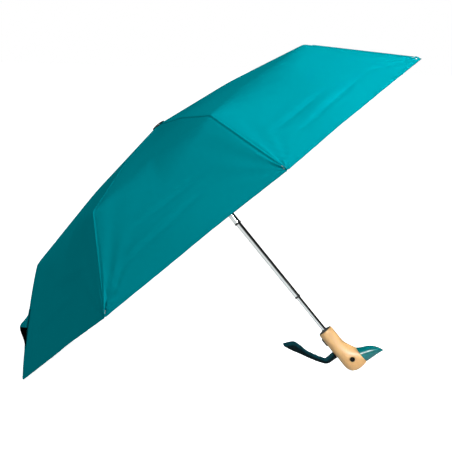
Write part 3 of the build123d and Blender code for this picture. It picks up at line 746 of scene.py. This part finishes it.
class UMBRELLA_OT_canopy(bpy.types.Operator):
    """Sews the canopy: one continuous curved cloth, in pieces that ride on the ribs under them"""

    bl_idname = "umbrella.canopy"
    bl_label = "Canopy"

    def execute(self, context):
        material = cloth_finish()
        points, normals, whole, marks = canopy_surface()
        lines = {"inner": (CROWN_EDGE, INNER_WAY), "middle": (KNEE, MIDDLE_WAY), "outer": (ELBOW, OUTER_WAY)}
        for rib in range(1, RIBS + 1):
            angle = rib_angle(rib)
            radial = np.array((math.cos(angle), math.sin(angle), 0))
            around = np.array((-math.sin(angle), math.cos(angle), 0))
            first = (rib - 1) * 2 * HALF_COLUMNS
            for side, word in ((1, "left"), (-1, "right")):
                start = first if side == 1 else first - HALF_COLUMNS
                columns = np.arange(start, start + HALF_COLUMNS + 1) % (RIBS * 2 * HALF_COLUMNS)
                for index, (zone, (origin, slope)) in enumerate(lines.items()):
                    rows = slice(marks[index], marks[index + 1] + 1)
                    p, n = points[rows][:, columns], normals[rows][:, columns]
                    part = {key: grid[rows][:, columns] for key, grid in whole.items()}
                    uv = (0.25 + part["across"] * MM, 0.4 + part["u"] * MM)
                    uv = np.stack(uv, -1).reshape(-1, 2)
                    outer = row_points(p.reshape(-1, 3))
                    inner = row_points((p - n * part["thick"][..., None]).reshape(-1, 3))
                    turned = n.reshape(-1, 3) @ TO_ROW[:3, :3].T
                    body = f"{zone}_rib_{rib}"
                    piece = new_piece(
                        f"canopy_{zone}_{rib}_{word}",
                        np.concatenate([outer, inner]),
                        shell_faces(*p.shape[:2]),
                        "gore",
                        np.concatenate([uv, uv]),
                        np.concatenate([turned, -turned]),
                        {
                            "from_seam": np.tile(part["x"].ravel() * MM, 2),
                            "from_hem": np.tile(part["from_hem"].ravel() * MM, 2),
                        },
                    )
                    outermost = zone == "outer"
                    nodes = [f"canopy_gore_{rib}"] if outermost and side == 1 else []
                    dress(piece, material, body, nodes)
                    area = area_of(p) * MM * MM
                    length = float(np.linalg.norm(np.diff(p, axis=0), axis=2).sum(0).max()) * MM
                    width = float(np.linalg.norm(np.diff(p, axis=1), axis=2).sum(1).max()) * MM
                    if area > width * length:
                        width = area / length * 1.001
                    # The way towards its rib in the cloth's own plane, along which folding would narrow the
                    # piece, and a point beside the rib; both are worked out but not used
                    chord = -math.sin(HALF_PITCH) * radial + side * math.cos(HALF_PITCH) * around
                    way = slope[0] * radial + np.array((0, 0, slope[1]))
                    flat_axis = chord - (chord @ way) * way
                    flat_axis /= np.linalg.norm(flat_axis)
                    beside = 0.0 if outermost else BESIDE_RIB
                    anchor = origin[0] * radial + np.array((0, 0, origin[1])) + beside * flat_axis
                    tuple(flat_axis @ TO_ROW[:3, :3].T)
                    tuple(row_points([anchor])[0])
                    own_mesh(piece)
        return {"FINISHED"}


# ------------------------------------------------------------------ rib tips


CAP_AT, CAP_RISE = 0.1988, 0.0017  # a cap's place on its outer rib, along it and above it


def outer_rib(number):
    """An outer rib's pivot and its ways along, across and above, in the row frame."""
    angle = rib_angle(number)
    turn = SHAFT.to_3x3()
    out, drop = OUTER_WAY
    way = (turn @ Vector((out * math.cos(angle), out * math.sin(angle), drop))).normalized()
    across = turn @ Vector((-math.sin(angle), math.cos(angle), 0))
    above = across.cross(way)
    above = above if above.dot(UP) > 0 else -above
    return Vector(JOINTS[f"outer_rib_hinge_{number}"]["pos_m"]), way, across, above


class UMBRELLA_OT_rib_tips(bpy.types.Operator):
    """Adds the small light cap on each rib's tip"""

    bl_idname = "umbrella.rib_tips"
    bl_label = "Rib tips"

    def execute(self, context):
        clear_selection()
        bpy.ops.mesh.primitive_cylinder_add(vertices=24, radius=0.0021, depth=0.009, location=(0, 0, 0))
        cap = context.object
        bpy.ops.object.mode_set(mode="EDIT")
        select_faces(cap, lambda face: face.normal.z < -0.9)
        bpy.ops.mesh.inset(thickness=0.0003)
        bpy.ops.mesh.extrude_region_move(TRANSFORM_OT_translate={"value": (0, 0, -0.0024)})
        bpy.ops.transform.resize(value=(0.82, 0.82, 1))
        select_faces(cap, lambda face: face.normal.z > 0.9 and face.calc_center_median().z > 0.004)
        bpy.ops.mesh.bevel(offset=0.0013, segments=4, affect="EDGES")
        bpy.ops.object.mode_set(mode="OBJECT")
        material = plastic_finish("tip_cap_plastic", settings().umbrella_metal.tip, 0.35)
        for rib in range(1, RIBS + 1):
            pivot, way, _, above = outer_rib(rib)
            mesh = cap.data.copy()
            turn = way.to_track_quat("Z", "Y").to_matrix().to_4x4()
            turn.translation = pivot + way * CAP_AT + above * CAP_RISE
            mesh.transform(turn)
            piece = bpy.data.objects.new(f"rib_tip_{rib}", mesh)
            context.scene.collection.objects.link(piece)
            pick(piece)
            bpy.ops.object.shade_smooth_by_angle(angle=math.radians(40))
            dress(piece, material, f"outer_rib_{rib}")
        bpy.data.objects.remove(cap)
        return {"FINISHED"}


# ------------------------------------------------------------------ straps


def ribbon(name, near, far, thickness, facing):
    """A closed flat band between two edge lines in row-frame metres, its outside towards facing."""
    columns = 9
    share = np.linspace(0, 1, columns)[None, :, None]
    middle = near[:, None] * (1 - share) + far[:, None] * share
    along = np.gradient(middle, axis=0)
    across = np.broadcast_to((far - near)[:, None], middle.shape)
    normal = np.cross(across, along)
    normal /= np.maximum(np.linalg.norm(normal, axis=2, keepdims=True), 1e-12)
    if normal[len(near) // 4, columns // 2] @ np.array(facing) < 0:
        normal = -normal
    edge = np.sqrt(np.clip(1 - (2 * share - 1) ** 6, 0.12, 1))
    outer = middle + normal * thickness / 2 * edge
    inner = middle - normal * thickness / 2 * edge
    width = np.linalg.norm(far - near, axis=1)[:, None]
    steps = np.linalg.norm(np.diff(middle[:, columns // 2], axis=0), axis=1)
    length = np.broadcast_to(np.concatenate([[0], np.cumsum(steps)])[:, None], middle.shape[:2])
    uv = np.stack([width * share[..., 0], length], -1).reshape(-1, 2)
    piece = new_piece(
        name,
        np.concatenate([outer.reshape(-1, 3), inner.reshape(-1, 3)]),
        shell_faces(*middle.shape[:2]),
        "strap",
        np.concatenate([uv, uv]),
    )
    pick(piece)
    bpy.ops.object.mode_set(mode="EDIT")
    bpy.ops.mesh.select_all(action="SELECT")
    bpy.ops.mesh.normals_make_consistent(inside=False)
    bpy.ops.object.mode_set(mode="OBJECT")
    return piece


def smooth_line(points, count):
    """A smooth line through a few points."""
    points = np.asarray(points, float)
    steps = np.concatenate([[0], np.cumsum(np.linalg.norm(np.diff(points, axis=0), axis=1))])
    tangents = np.gradient(points, steps, axis=0)
    where = np.linspace(0, steps[-1], count)
    index = np.clip(np.searchsorted(steps, where, side="right") - 1, 0, len(points) - 2)
    span = (steps[index + 1] - steps[index])[:, None]
    f = ((where - steps[index])[:, None]) / span
    return (
        (2 * f**3 - 3 * f**2 + 1) * points[index]
        + (f**3 - 2 * f**2 + f) * span * tangents[index]
        + (-2 * f**3 + 3 * f**2) * points[index + 1]
        + (f**3 - f**2) * span * tangents[index + 1]
    )


# The wrist strap's two edges from the handle to the loop's end, millimetres out from and up the shaft
STRAP_UPPER = (
    (-16.2, -325.2), (-23.0, -325.6), (-32.4, -325.2), (-37.6, -318.6), (-43.6, -308.0),
    (-50.4, -294.0), (-54.6, -276.0), (-59.2, -264.6), (-66.0, -260.2), (-77.0, -255.2),
)
STRAP_LOWER = (
    (-16.2, -338.2), (-24.0, -338.0), (-32.6, -337.2), (-38.6, -334.2), (-45.4, -324.6),
    (-53.8, -310.6), (-59.6, -299.6), (-65.4, -288.0), (-72.6, -275.0), (-78.6, -262.0),
)
STRAP_STEPS = 130
STRAP_EYE, EYE_TOP, EYE_LOW = -14.2, -325.6, -338.8  # where the strap goes round the metal fitting


class UMBRELLA_OT_wrist_strap(bpy.types.Operator):
    """Makes the wrist strap: a crumpled loop of webbing on the handle's wire eye"""

    bl_idname = "umbrella.wrist_strap"
    bl_label = "Wrist strap"

    def execute(self, context):
        layer = settings().umbrella_strap.layer / MM
        upper, lower = smooth_line(STRAP_UPPER, STRAP_STEPS), smooth_line(STRAP_LOWER, STRAP_STEPS)
        share = np.linspace(0, 1, STRAP_STEPS)
        upper[:, 1] += 0.8 * np.sin(share * 62.0) * bell(share - 0.3, 0.12)
        gap = 1.35 + 0.9 * np.sin(math.pi * share) ** 0.7
        gap[-14:] *= np.cos(np.linspace(0, math.pi / 2, 14)) * 0.7 + 0.3
        folds = 1.3 * np.sin(share * 31.0) * bell(share - 0.33, 0.25) + 0.35 * np.sin(share * 60.0)
        twist = 0.5 * np.sin(share * 17.0 + 0.8)
        edges = []
        for edge, lean, eye in ((upper, twist, EYE_TOP), (lower, -twist, EYE_LOW)):
            out = np.stack([edge[:, 0], -gap + folds * 0.5 + lean, edge[:, 1]], -1)
            back = np.stack([edge[:, 0], gap + folds * 0.5 + lean * 0.6, edge[:, 1]], -1)
            start = np.array([(STRAP_EYE, y, eye) for y in (0.9, 0.0, -0.9)])
            edges.append(np.concatenate([start[1:], out, back[::-1], start[:1]]))
        top, low = edges
        piece = ribbon("wrist_strap_loop", row_points(top), row_points(low), layer * MM, (0, -1, 0))
        dress(piece, webbing_finish(), "handle", ["wrist_strap"])
        return {"FINISHED"}


# The closing strap's two edges, millimetres along the rib from its pivot and above it
TAB_HIGH = (
    (84, 9.3), (93, 9.6), (104, 15.4), (112, 20.4), (116, 21.4),
    (121, 20.4), (134, 14.2), (146, 9.0), (154, 8.2),
)
TAB_FLAT = (
    (84, 8.9), (93, 9.0), (104, 9.3), (112, 9.3), (116, 9.3),
    (121, 9.2), (134, 8.7), (146, 8.2), (154, 7.8),
)
TAB_HALF, TAB_THICK = 6.8, 0.0011


class UMBRELLA_OT_closing_strap(bpy.types.Operator):
    """Makes the closing strap: a short tab sewn over the lower front rib, with its hook patch"""

    bl_idname = "umbrella.closing_strap"
    bl_label = "Closing strap"

    def execute(self, context):
        pivot, way, across, above = outer_rib(5)
        edges = []
        for line, shift in ((TAB_FLAT, TAB_HALF), (TAB_HIGH, -TAB_HALF)):
            base = pivot + across * (shift * MM)
            edges.append([base + way * (v * MM) + above * (n * MM) for v, n in smooth_line(line, 70)])
        piece = ribbon("closing_tab", *map(np.array, edges), TAB_THICK, above)
        dress(piece, tab_finish(), "outer_rib_5", ["closing_strap"])
        return {"FINISHED"}


# ------------------------------------------------------------------ handle and frame


def smooth_copy(node, name, material, angle=35.0, skin=0.0):
    """A CAD node's shape as one smooth skin, with its edges kept or, given a skin, worn soft."""
    source = frame["nodes"][node]
    piece = bpy.data.objects.new(name, source.data.copy())
    bpy.context.scene.collection.objects.link(piece)
    pick(piece)
    if piece.data.has_custom_normals:
        bpy.ops.mesh.customdata_custom_splitnormals_clear()
    bpy.ops.object.mode_set(mode="EDIT")
    bpy.ops.mesh.select_all(action="SELECT")
    bpy.ops.mesh.remove_doubles(threshold=0.000004)
    bpy.ops.object.mode_set(mode="OBJECT")
    if skin:
        grain = piece.modifiers.new("skin", "REMESH")
        grain.mode, grain.voxel_size = "VOXEL", skin
        ease = piece.modifiers.new("ease", "SMOOTH")
        ease.factor, ease.iterations = 0.5, 40
        for step in ("skin", "ease"):
            bpy.ops.object.modifier_apply(modifier=step)
    bpy.ops.object.shade_smooth_by_angle(angle=math.radians(angle))
    return dress(piece, material, source["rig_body"], [node])


PLATED = ("lower_tube", "middle_tube", "top_tube", "strap_bail")
MOULDED = ("handle_bushing", "release_button", "middle_collar", "top_collar", "crown", "top_cap", "runner")


class UMBRELLA_OT_handle(bpy.types.Operator):
    """Finishes the wooden head, its lacquered beak and its bead eyes"""

    bl_idname = "umbrella.handle"
    bl_label = "Handle"

    def execute(self, context):
        smooth_copy("handle", "wooden_head", wood_finish(), 50, 0.0005)
        smooth_copy("beak", "lacquered_beak", beak_finish(), 60, 0.00035)
        bead = plastic_finish("eye_bead", (0.003, 0.002, 0.002), 0.14, shine=0.08)
        smooth_copy("eyes", "bead_eyes", bead, 40)
        return {"FINISHED"}


class UMBRELLA_OT_frame(bpy.types.Operator):
    """Finishes the shaft, crown, runner, ribs and small parts"""

    bl_idname = "umbrella.frame"
    bl_label = "Shaft and ribs"

    def execute(self, context):
        metal = settings().umbrella_metal
        chrome = chrome_finish()
        black = plastic_finish("black_plastic", metal.plastic, 0.38)
        dark = steel_finish("rib_steel", metal.steel)
        spring = steel_finish("spring_steel", (0.32, 0.32, 0.33), 1.0, 0.3)
        for node in PLATED:
            smooth_copy(node, f"plated_{node}", chrome)
        for node in MOULDED:
            smooth_copy(node, f"moulded_{node}", black)
        for node, cad in frame["nodes"].items():
            if cad.hide_render:
                continue
            cad.data.materials.clear()
            cad.data.materials.append(spring if "spring" in node or "pins" in node else dark)
        return {"FINISHED"}


# ------------------------------------------------------------------ stage


# Camera: low in front, the shaft seen almost square on; angles round and above the shaft in degrees
CAMERA_ROUND, CAMERA_RISE, CAMERA_ROLL, CAMERA_AWAY = 279.32, 0.78, -39.05, 2.6548
CAMERA_OFF = 0.00171, 0.0101  # how far its aim lies beside and below the rim's centre, per metre


def area_light(name, place, target, size, power):
    """A softbox that looks at a point."""
    data = bpy.data.lights.new(name, "AREA")
    data.shape, data.size, data.size_y = "RECTANGLE", size[0], size[1]
    data.energy = power
    lamp = bpy.data.objects.new(name, data)
    bpy.context.scene.collection.objects.link(lamp)
    lamp.location = place
    lamp.rotation_euler = (Vector(target) - Vector(place)).to_track_quat("-Z", "Y").to_euler()
    return lamp


class UMBRELLA_OT_stage(bpy.types.Operator):
    """Sets the floor, the soft studio light and the camera"""

    bl_idname = "umbrella.stage"
    bl_label = "Stage"

    def execute(self, context):
        stage = settings().umbrella_stage
        clear_selection()
        lowest = min(0.0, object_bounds()[0][2])
        bpy.ops.mesh.primitive_plane_add(size=60, location=(0, 0, lowest))
        floor = context.object
        floor.name = "studio_floor"
        f = Finish("pale_floor")
        grain = f.noise(f.place(), 3.0, 2.0)
        f.set(
            Base_Color=f.mix(grain, (0.9, 0.9, 0.9), (0.93, 0.93, 0.93)),
            Roughness=0.9,
            Specular_IOR_Level=0.0,
            Emission_Color=(1.0, 1.0, 1.0),
            Emission_Strength=0.95,
        )
        floor.data.materials.append(f.material)
        floor.visible_diffuse = floor.visible_glossy = False
        floor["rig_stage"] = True

        world = bpy.data.worlds.new("studio")
        context.scene.world = world
        world.use_nodes = True
        nodes, links = world.node_tree.nodes, world.node_tree.links
        backdrop = nodes["Background"]
        backdrop.inputs["Color"].default_value = (1, 1, 1, 1)
        # White to the camera, an even fill to cloth and wood, and a room that darkens to the right for gloss
        path = nodes.new("ShaderNodeLightPath")
        towards = nodes.new("ShaderNodeTexCoord")
        shades = []
        for way, low, high in ((OUT, -0.05, 0.4), (SIDE, 0.35, 0.8)):
            dot, shade = nodes.new("ShaderNodeVectorMath"), nodes.new("ShaderNodeMapRange")
            dot.operation = "DOT_PRODUCT"
            dot.inputs[1].default_value = way
            shade.inputs["From Min"].default_value, shade.inputs["From Max"].default_value = low, high
            links.new(towards.outputs["Generated"], dot.inputs[0])
            links.new(dot.outputs["Value"], shade.inputs["Value"])
            shades.append(shade)
        darker = nodes.new("ShaderNodeMath")
        darker.operation = "MAXIMUM"
        room, gloss, level = (nodes.new("ShaderNodeMapRange") for _ in range(3))
        for index, shade in enumerate(shades):
            links.new(shade.outputs[0], darker.inputs[index])
        room.inputs["To Min"].default_value, room.inputs["To Max"].default_value = 0.9, 0.015
        links.new(darker.outputs[0], room.inputs["Value"])
        gloss.inputs["To Min"].default_value = stage.fill
        links.new(path.outputs["Is Glossy Ray"], gloss.inputs["Value"])
        links.new(room.outputs[0], gloss.inputs["To Max"])
        links.new(gloss.outputs[0], level.inputs["To Min"])
        level.inputs["To Max"].default_value = 1.0
        links.new(path.outputs["Is Camera Ray"], level.inputs["Value"])
        links.new(level.outputs[0], backdrop.inputs["Strength"])

        key = area_light("key_softbox", (0.8, -0.94, 1.4), (-0.05, 0, 0.28), (0.9, 0.9), stage.key)
        key.visible_glossy = False
        narrow = area_light("handle_light", (1.3, -1.5, 0.5), (0.27, 0, 0.07), (0.3, 0.9), stage.key * 0.05)
        narrow.data.spread = math.radians(24)
        narrow.visible_glossy = False
        strip = area_light("gloss_strip", (0.45, -2.0, 0.9), (0.3, 0, 0.06), (1.0, 0.05), stage.key * 2.4)
        strip.visible_diffuse = False

        azimuth, rise, roll = map(math.radians, (CAMERA_ROUND, CAMERA_RISE, CAMERA_ROLL))
        axes = SHAFT.to_3x3()
        level_way = axes @ Vector((math.cos(azimuth), math.sin(azimuth), 0))
        back = level_way * math.cos(rise) + UP * math.sin(rise)
        right0 = axes @ Vector((-math.sin(azimuth), math.cos(azimuth), 0))
        up0 = back.cross(right0).normalized()
        right = right0 * math.cos(roll) + up0 * math.sin(roll)
        up = up0 * math.cos(roll) - right0 * math.sin(roll)
        ahead = (-back - right * CAMERA_OFF[0] - up * CAMERA_OFF[1]).normalized()
        right = (right - ahead * right.dot(ahead)).normalized()
        up = right.cross(ahead)
        data = bpy.data.cameras.new("camera")
        data.lens, data.sensor_width = stage.lens, 36.0
        data.clip_start, data.clip_end = 0.05, 80.0
        camera = bpy.data.objects.new("camera", data)
        context.scene.collection.objects.link(camera)
        pose = Matrix((right, up, -ahead)).transposed().to_4x4()
        pose.translation = RIM_CENTRE + back * CAMERA_AWAY
        camera.matrix_world = pose
        context.scene.camera = camera
        context.scene.view_settings.view_transform = "Standard"
        return {"FINISHED"}


# ------------------------------------------------------------------ add-on


class UMBRELLA_PT_panel(bpy.types.Panel):
    """Lists the umbrella's pieces in the order they are made"""

    bl_idname = "UMBRELLA_PT_panel"
    bl_label = "Folding umbrella"
    bl_space_type = "VIEW_3D"
    bl_region_type = "UI"
    bl_category = "Umbrella"

    def draw(self, context):
        for step in STEPS:
            self.layout.operator(step.bl_idname)
        for group in GROUPS:
            values = getattr(context.scene, group)
            for name in values.bl_rna.properties.keys():
                if name not in ("rna_type", "name"):
                    self.layout.prop(values, name)


GROUPS = {
    "umbrella_cloth": ClothSettings,
    "umbrella_handle": HandleSettings,
    "umbrella_strap": StrapSettings,
    "umbrella_metal": MetalSettings,
    "umbrella_stage": StageSettings,
}
STEPS = (
    UMBRELLA_OT_canopy,
    UMBRELLA_OT_rib_tips,
    UMBRELLA_OT_wrist_strap,
    UMBRELLA_OT_closing_strap,
    UMBRELLA_OT_handle,
    UMBRELLA_OT_frame,
    UMBRELLA_OT_stage,
)
CLASSES = (*GROUPS.values(), *STEPS, UMBRELLA_PT_panel)


def register():
    for cls in CLASSES:
        bpy.utils.register_class(cls)
    for name, group in GROUPS.items():
        setattr(bpy.types.Scene, name, PointerProperty(type=group))


def unregister():
    for name in GROUPS:
        delattr(bpy.types.Scene, name)
    for cls in reversed(CLASSES):
        bpy.utils.unregister_class(cls)


def main():
    register()
    bpy.ops.umbrella.canopy()
    bpy.ops.umbrella.rib_tips()
    bpy.ops.umbrella.wrist_strap()
    bpy.ops.umbrella.closing_strap()
    bpy.ops.umbrella.handle()
    bpy.ops.umbrella.frame()
    bpy.ops.umbrella.stage()


if __name__ == "__main__":
    main()
